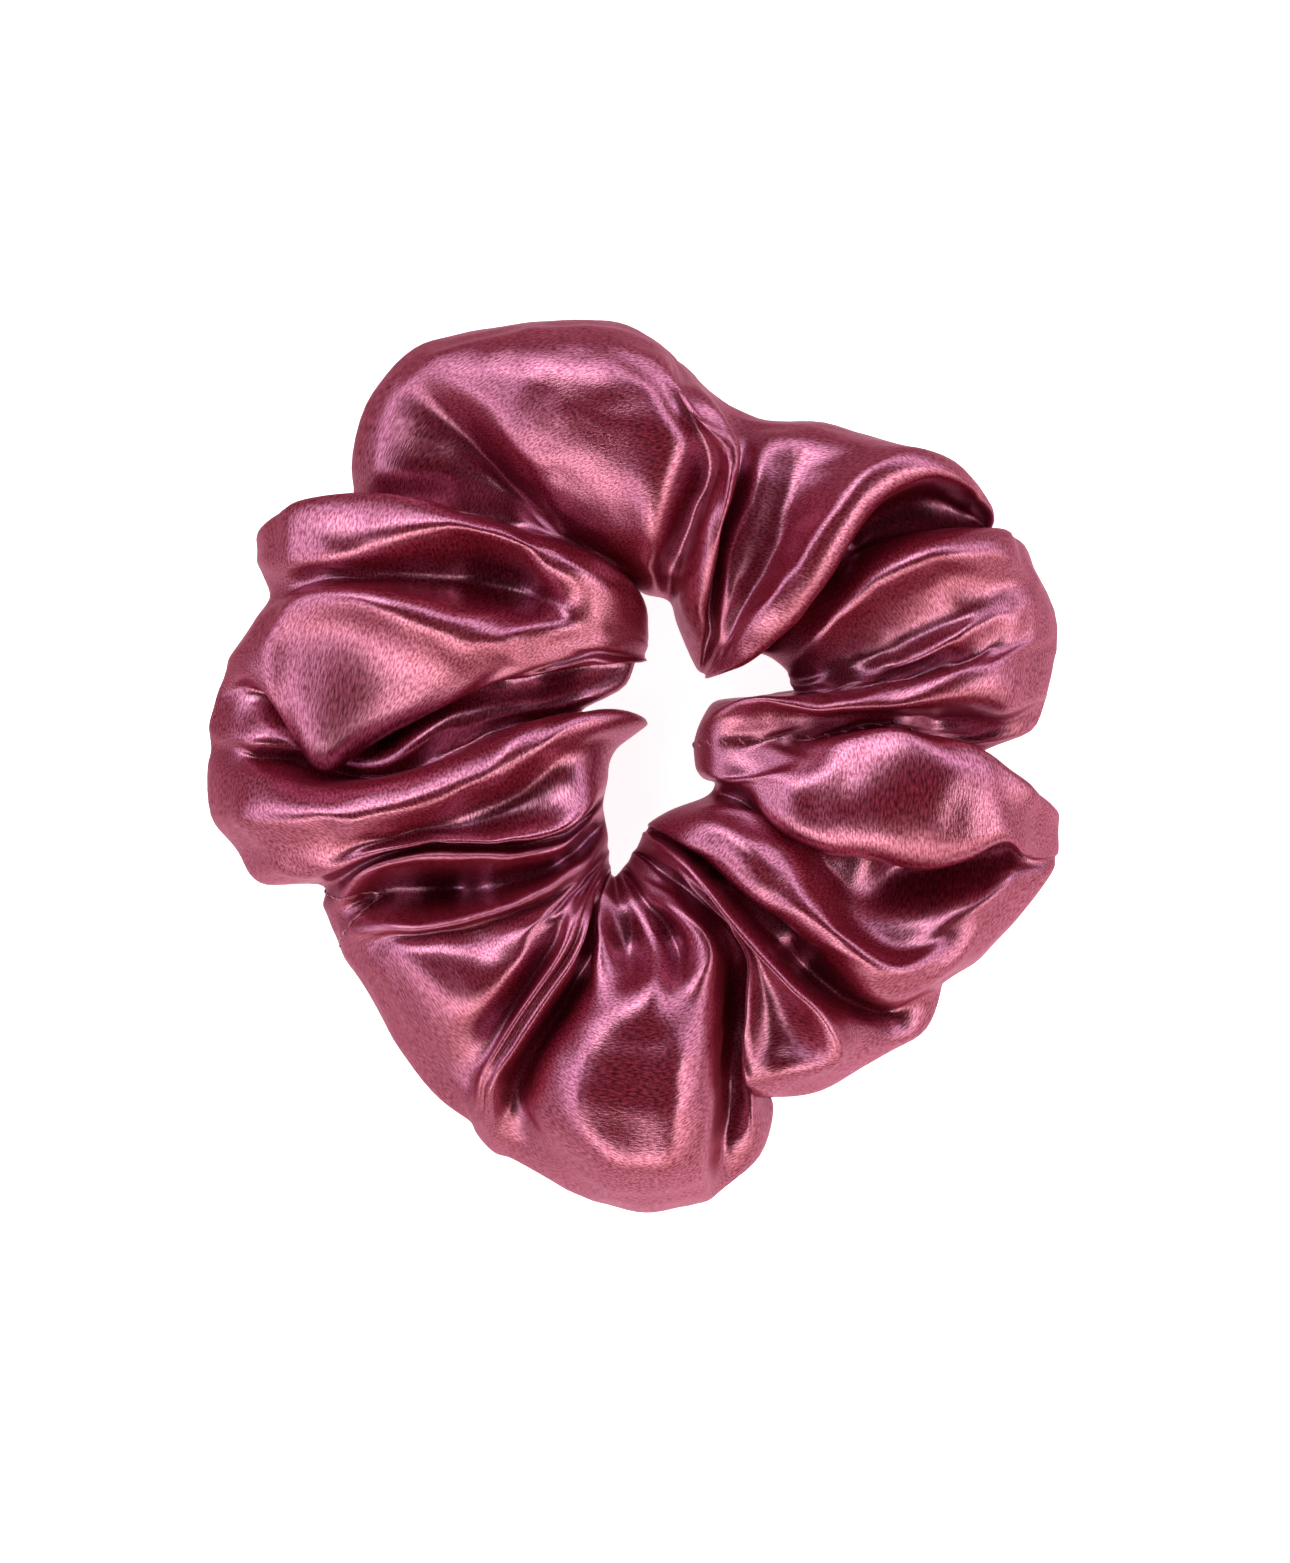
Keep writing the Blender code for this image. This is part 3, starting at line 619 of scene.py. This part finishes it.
columns, rows = grid.shape[:2]
seamRoute = []
for column, row in enumerate(seamRows(columns, rows)):
    low = int(row) % rows
    share = row - int(row)
    here = coarse[column % columns]
    seamRoute.append(here[low] * (1 - share) + here[(low + 1) % rows] * share)
seamStitches = stitchLine("seam_stitches", seamRoute, seam["stitch"], seam["gap"])
closingRoute = np.vstack([coarse[0], coarse[0, :1]])
closingStitches = stitchLine("closing_seam_stitches", closingRoute, closingSeam["stitch"], closingSeam["gap"],
                             closingSeam["width"])
print("stitches:", len(seamStitches.data.polygons), "and", len(closingStitches.data.polygons), "faces")

bandPath, bandUps = [], []
lapTurn = elastic["lap"] / elastic["radius"]
middleX, middleY = elastic["centre"]
for step in range(elastic["steps"] + 1):
    share = step / elastic["steps"]
    turn = -lapTurn / 2 + (2 * math.pi + lapTurn) * share
    # the two ends lie one on the other where they are tacked
    nearEnd = ramp((share - (1 - elastic["lapShare"])) / elastic["lapFade"])
    nearStart = ramp((elastic["lapShare"] - share) / elastic["lapFade"])
    radius = elastic["radius"] + elastic["thickness"] * 0.5 * (nearEnd - nearStart)
    outward = Vector((math.cos(turn), math.sin(turn), 0))
    middle = Vector((middleX, middleY, (elastic["low"] + elastic["high"]) / 2))
    bandPath.append((middle + outward * radius) * mm)
    bandUps.append(outward)
verts, faces = [], []
sweep(verts, faces, bandPath, bandUps, (elastic["high"] - elastic["low"]) * mm, elastic["thickness"] * mm, 64,
      elastic["ribs"])
elasticBand = makePiece("elastic_band", verts, faces)
verts, faces = [], []
tackX = middleX + elastic["radius"]
tackWide, tackHigh = elastic["tackThread"]
for height in elastic["tackHeights"]:
    for bend in (-elastic["tackSlant"], elastic["tackSlant"]):
        tackPath = [Vector((tackX + rise, middleY + elastic["tackReach"] * along, height + bend * along)) * mm
                    for along, rise in elastic["tackRise"]]
        sweep(verts, faces, tackPath, [Vector((1, 0, 0))] * len(tackPath), tackWide * mm, tackHigh * mm)
elasticTack = makePiece("elastic_tack_stitches", verts, faces)
print("elastic band:", len(elasticBand.data.polygons), "faces")

applyModifier(satinSleeve, "SOLIDIFY", thickness=sleeve["clothThickness"] * mm, offset=-1)
onlySelect(satinSleeve)
bpy.ops.object.shade_smooth()
print("sleeve with its thickness:", len(satinSleeve.data.polygons), "faces")


def makeGroup(name, inputs, outputs):
    group = bpy.data.node_groups.new(name, "ShaderNodeTree")
    for label, kind, value in inputs:
        socket = group.interface.new_socket(label, in_out="INPUT", socket_type=kind)
        if value is not None:
            socket.default_value = value
    for label, kind in outputs:
        group.interface.new_socket(label, in_out="OUTPUT", socket_type=kind)
    return group, group.nodes.new("NodeGroupInput"), group.nodes.new("NodeGroupOutput")


def feed(tree, socket, value):
    # a socket takes a link from another node or a plain value
    if isinstance(value, bpy.types.NodeSocket):
        tree.links.new(value, socket)
    elif value is not None:
        socket.default_value = value


def addMath(tree, operation, first, second=None, clamp=False):
    node = tree.nodes.new("ShaderNodeMath")
    node.operation = operation
    node.use_clamp = clamp
    feed(tree, node.inputs[0], first)
    feed(tree, node.inputs[1], second)
    return node.outputs[0]


def mixColour(tree, share, first, second, blend="MIX"):
    node = tree.nodes.new("ShaderNodeMix")
    node.data_type = "RGBA"
    node.blend_type = blend
    for label, value in (("Factor", share), ("A", first), ("B", second)):
        feed(tree, node.inputs[label], value)
    return node.outputs["Result"]


def addBump(tree, height, distance, normal=None):
    node = tree.nodes.new("ShaderNodeBump")
    node.inputs["Distance"].default_value = distance
    feed(tree, node.inputs["Height"], height)
    feed(tree, node.inputs["Normal"], normal)
    return node.outputs["Normal"]


def splitAxes(tree, vector):
    node = tree.nodes.new("ShaderNodeSeparateXYZ")
    tree.links.new(vector, node.inputs[0])
    return node.outputs


def threadGrainGroup():
    # the fine floats of a weave or a yarn: long along the threads, narrow across them
    group, given, made = makeGroup("threadGrain", [("Vector", "NodeSocketVector", None),
                                                   ("Threads", "NodeSocketFloat", 5000.0),
                                                   ("Float length", "NodeSocketFloat", 3.0)],
                                   [("Height", "NodeSocketFloat"), ("Mask", "NodeSocketFloat")])
    axes = splitAxes(group, given.outputs["Vector"])
    joined = group.nodes.new("ShaderNodeCombineXYZ")
    floats = addMath(group, "DIVIDE", given.outputs["Threads"], given.outputs["Float length"])
    feed(group, joined.inputs["X"], addMath(group, "MULTIPLY", axes["X"], floats))
    feed(group, joined.inputs["Y"], addMath(group, "MULTIPLY", axes["Y"], given.outputs["Threads"]))
    feed(group, joined.inputs["Z"], axes["Z"])
    noise = group.nodes.new("ShaderNodeTexNoise")
    for label, value in (("Vector", joined.outputs[0]), ("Scale", 1.0), ("Detail", 2.0), ("Roughness", 0.6)):
        feed(group, noise.inputs[label], value)
    fine = noise.outputs["Fac"]
    feed(group, made.inputs["Height"], fine)
    mask = addMath(group, "MULTIPLY", addMath(group, "SUBTRACT", fine, 0.5), 4.0)
    feed(group, made.inputs["Mask"], addMath(group, "ADD", mask, 0.5, True))
    return group


def seamPuckerGroup():
    # a sewn line: a groove along it, and short puckers that run out from every stitch
    group, given, made = makeGroup("seamPucker", [("Across", "NodeSocketFloat", 0.0),
                                                  ("Along", "NodeSocketFloat", 0.0),
                                                  ("Stitch", "NodeSocketFloat", 0.0022),
                                                  ("Reach", "NodeSocketFloat", 0.003),
                                                  ("Groove width", "NodeSocketFloat", 0.0006),
                                                  ("Groove depth", "NodeSocketFloat", 0.5),
                                                  ("Pucker depth", "NodeSocketFloat", 0.35)],
                                   [("Height", "NodeSocketFloat")])
    distance = addMath(group, "ABSOLUTE", given.outputs["Across"])
    groove = addMath(group, "DIVIDE", distance, given.outputs["Groove width"], True)
    far = addMath(group, "DIVIDE", distance, given.outputs["Reach"], True)
    near = addMath(group, "SUBTRACT", 1.0, far, True)
    stitches = addMath(group, "DIVIDE", given.outputs["Along"], given.outputs["Stitch"])
    wave = addMath(group, "SINE", addMath(group, "MULTIPLY", stitches, 2 * math.pi))
    pucker = addMath(group, "MULTIPLY", addMath(group, "MULTIPLY", wave, near), given.outputs["Pucker depth"])
    sunk = addMath(group, "MULTIPLY", groove, given.outputs["Groove depth"])
    feed(group, made.inputs["Height"], addMath(group, "ADD", sunk, pucker))
    return group


threadGrain = threadGrainGroup()
seamPucker = seamPuckerGroup()


def addGroup(tree, group, **values):
    # values are plain or links, by the group's input names with underscores for spaces
    node = tree.nodes.new("ShaderNodeGroup")
    node.node_tree = group
    for label, value in values.items():
        feed(tree, node.inputs[label.replace("_", " ")], value)
    return node.outputs


def newMaterial(name, **settings):
    material = bpy.data.materials.new(name)
    material.use_nodes = True
    shader = material.node_tree.nodes["Principled BSDF"]
    for label, value in settings.items():
        shader.inputs[label.replace("_", " ")].default_value = value
    return material, material.node_tree, shader


satinLook = {
    "base": (0.098, 0.0016, 0.006, 1),
    "baseLight": (0.14, 0.005, 0.013, 1),
    "tint": (1.0, 0.55, 0.74, 1),
    "roughness": 0.29,
    "threads": 3300.0,  # in a metre of cloth
    "floatLength": 1.9,  # times as long as wide
    "grainDepth": 0.000035,
    "puckerDepth": 0.00018,
    "longSeam": {"Stitch": 0.0044, "Reach": 0.0035},
    "crossSeam": {"Stitch": 0.0030, "Reach": 0.0004},
    "crossSeamShare": 0.15,
    "fleck": 0.72,  # how metallic the shine is between the lit flecks
}
satin, tree, shader = newMaterial("roseSatin", IOR=3.0, Specular_Tint=satinLook["tint"],
                                  Roughness=satinLook["roughness"])
cloth = tree.nodes.new("ShaderNodeUVMap")
cloth.uv_map = "cloth"
clothAxes = splitAxes(tree, cloth.outputs["UV"])
grain = addGroup(tree, threadGrain, Vector=cloth.outputs["UV"], Threads=satinLook["threads"],
                 Float_length=satinLook["floatLength"])
longSeam = addGroup(tree, seamPucker, Across=clothAxes["Y"], Along=clothAxes["X"], **satinLook["longSeam"])
half = sleeve["flatLength"] / 2
fromMiddle = addMath(tree, "ABSOLUTE", addMath(tree, "SUBTRACT", clothAxes["X"], half))
crossSeam = addGroup(tree, seamPucker, Across=addMath(tree, "SUBTRACT", half, fromMiddle),
                     Along=clothAxes["Y"], **satinLook["crossSeam"])
crossHeight = addMath(tree, "MULTIPLY", crossSeam["Height"], satinLook["crossSeamShare"])
sewn = addBump(tree, addMath(tree, "ADD", longSeam["Height"], crossHeight), satinLook["puckerDepth"])
feed(tree, shader.inputs["Normal"], addBump(tree, grain["Height"], satinLook["grainDepth"], sewn))
feed(tree, shader.inputs["Base Color"],
     mixColour(tree, grain["Mask"], satinLook["base"], satinLook["baseLight"]))
feed(tree, shader.inputs["Metallic"],
     addMath(tree, "MULTIPLY", addMath(tree, "SUBTRACT", 1.0, grain["Mask"]), satinLook["fleck"]))
satinSleeve.data.materials.clear()
satinSleeve.data.materials.append(satin)

threadLook = {
    "dark": (0.12, 0.010, 0.022, 1),
    "light": (0.34, 0.055, 0.095, 1),
    "plies": 900,
    "wander": 2,
    "depth": 0.00005,
}
roseThread, tree, shader = newMaterial("roseThread", Roughness=0.55, Sheen_Weight=0.3)
place = tree.nodes.new("ShaderNodeTexCoord").outputs["Object"]
plies = tree.nodes.new("ShaderNodeTexWave")
for label, value in (("Vector", place), ("Scale", threadLook["plies"]), ("Distortion", threadLook["wander"])):
    feed(tree, plies.inputs[label], value)
feed(tree, shader.inputs["Base Color"],
     mixColour(tree, plies.outputs["Fac"], threadLook["dark"], threadLook["light"]))
feed(tree, shader.inputs["Normal"], addBump(tree, plies.outputs["Fac"], threadLook["depth"]))
for piece in (seamStitches, closingStitches, elasticTack):
    piece.data.materials.append(roseThread)

braidLook = {
    "dark": (0.55, 0.50, 0.42, 1),
    "light": (0.80, 0.76, 0.68, 1),
    "threads": 2600.0,
    "floatLength": 2.2,
    "depth": 0.0002,
}
ivoryBraid, tree, shader = newMaterial("ivoryBraid", Roughness=0.75, Sheen_Weight=0.25)
place = tree.nodes.new("ShaderNodeTexCoord").outputs["Object"]
yarn = addGroup(tree, threadGrain, Vector=place, Threads=braidLook["threads"],
                Float_length=braidLook["floatLength"])
feed(tree, shader.inputs["Base Color"], mixColour(tree, yarn["Mask"], braidLook["dark"], braidLook["light"]))
feed(tree, shader.inputs["Normal"], addBump(tree, yarn["Height"], braidLook["depth"]))
elasticBand.data.materials.append(ivoryBraid)
print("materials made")

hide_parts("sleeve_left", "sleeve_upper_right", "sleeve_lower_right")
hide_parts("seam_thread_left", "seam_thread_upper_right", "seam_thread_lower_right")
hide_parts("closing_stitches")
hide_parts("elastic_left", "elastic_upper_end", "elastic_lower_end")
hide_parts("elastic_tack")
# each new piece's placing is baked into its mesh
for piece in (satinSleeve, seamStitches, closingStitches, elasticBand, elasticTack):
    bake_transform(piece)

floorLook = {"size": 3, "gap": 0.0005, "colour": (0.86, 0.86, 0.87, 1), "roughness": 0.9, "glow": 0.9}
bpy.ops.mesh.primitive_plane_add(size=floorLook["size"], location=(0, 0, -floorLook["gap"]))
floor = bpy.context.active_object
floor.name = "floor"
palePaper, tree, shader = newMaterial("palePaper", Base_Color=floorLook["colour"],
                                      Roughness=floorLook["roughness"], Emission_Color=(1, 1, 1, 1),
                                      Emission_Strength=floorLook["glow"])
floor.data.materials.append(palePaper)
floor.visible_glossy = False

camera = {"height": 0.50, "aimX": 0.0015, "aimY": -0.0020, "focusHeight": 0.016, "frameHeight": 0.1907}
cameraData = bpy.data.cameras.new("camera")
cameraData.sensor_width = 36
cameraData.lens = 36 * camera["height"] / camera["frameHeight"]
cameraObject = bpy.data.objects.new("camera", cameraData)
cameraObject.location = (camera["aimX"], camera["aimY"], camera["height"] + camera["focusHeight"])
bpy.context.scene.collection.objects.link(cameraObject)
bpy.context.scene.camera = cameraObject
bpy.context.scene.view_settings.view_transform = "Standard"

# each softbox: azimuth, elevation, size, power and colour
softboxes = {
    "windowLight": (120, 45, (0.6, 0.35), 4, (1.0, 0.93, 1.0)),
    "rightLight": (-20, 38, (0.5, 0.3), 2, (1.0, 0.93, 0.93)),
    "frontLight": (-110, 36, (0.6, 0.3), 2, (1.0, 0.92, 0.9)),
}
softboxDistance = 0.9
for name, (azimuth, elevation, size, power, colour) in softboxes.items():
    data = bpy.data.lights.new(name, "AREA")
    data.shape = "RECTANGLE"
    data.size, data.size_y = size
    data.energy = power
    data.color = colour
    lamp = bpy.data.objects.new(name, data)
    turn, lift = math.radians(azimuth), math.radians(elevation)
    spot = Vector((math.cos(turn) * math.cos(lift), math.sin(turn) * math.cos(lift), math.sin(lift)))
    lamp.location = spot * softboxDistance
    lamp.rotation_euler = spot.to_track_quat("Z", "Y").to_euler()
    bpy.context.scene.collection.objects.link(lamp)

# satin shows the room round it: a bright band at mid height under a dark ceiling, cool towards +Y and warm
# towards -Y, and a weak glow from below that lights the rims
room = {
    "bands": ((0.46, (0.07, 0.03, 0.03, 1)), (0.65, (1.0, 0.92, 0.97, 1)),
              (0.77, (1.0, 0.94, 1.0, 1)), (0.87, (0.006, 0.004, 0.005, 1))),
    "warmSide": (0.28, -0.70, 0.15),  # shares of X and Y, and a start
    "cool": (1.0, 0.94, 1.12, 1),
    "warm": (1.0, 0.76, 0.62, 1),
    "glowSide": (0.14, -0.26, 0.30),
    "glowHeights": (0.08, -0.30),
    "glow": (1.0, 0.72, 0.78, 1),
    "strength": 3.15,
}
world = bpy.data.worlds.new("studio")
bpy.context.scene.world = world
world.use_nodes = True
sky = world.node_tree
skyAxes = splitAxes(sky, sky.nodes.new("ShaderNodeTexCoord").outputs["Generated"])


def sideShare(alongX, alongY, begin):
    # a share that grows towards one side of the room
    across = addMath(sky, "ADD", addMath(sky, "MULTIPLY", skyAxes["Y"], alongY),
                     addMath(sky, "MULTIPLY", skyAxes["X"], alongX))
    return addMath(sky, "ADD", across, begin, True)


def heightShare(low, high, kind):
    node = sky.nodes.new("ShaderNodeMapRange")
    node.interpolation_type = kind
    for label, value in (("Value", skyAxes["Z"]), ("From Min", low), ("From Max", high)):
        feed(sky, node.inputs[label], value)
    return node.outputs["Result"]


bands = sky.nodes.new("ShaderNodeValToRGB")
bands.color_ramp.interpolation = "EASE"
stops = bands.color_ramp.elements
for stop, (position, colour) in zip(stops, room["bands"]):
    stop.position, stop.color = position, colour
for position, colour in room["bands"][len(stops):]:
    stops.new(position).color = colour
feed(sky, bands.inputs["Fac"], heightShare(-1.0, 1.0, "LINEAR"))
hue = mixColour(sky, sideShare(*room["warmSide"]), room["cool"], room["warm"])
walls = mixColour(sky, 1.0, bands.outputs["Color"], hue, "MULTIPLY")
glow = addMath(sky, "MULTIPLY", sideShare(*room["glowSide"]), heightShare(*room["glowHeights"], "SMOOTHSTEP"))
feed(sky, sky.nodes["Background"].inputs["Color"], mixColour(sky, glow, walls, room["glow"]))
sky.nodes["Background"].inputs["Strength"].default_value = room["strength"]
print("stage and lights made")
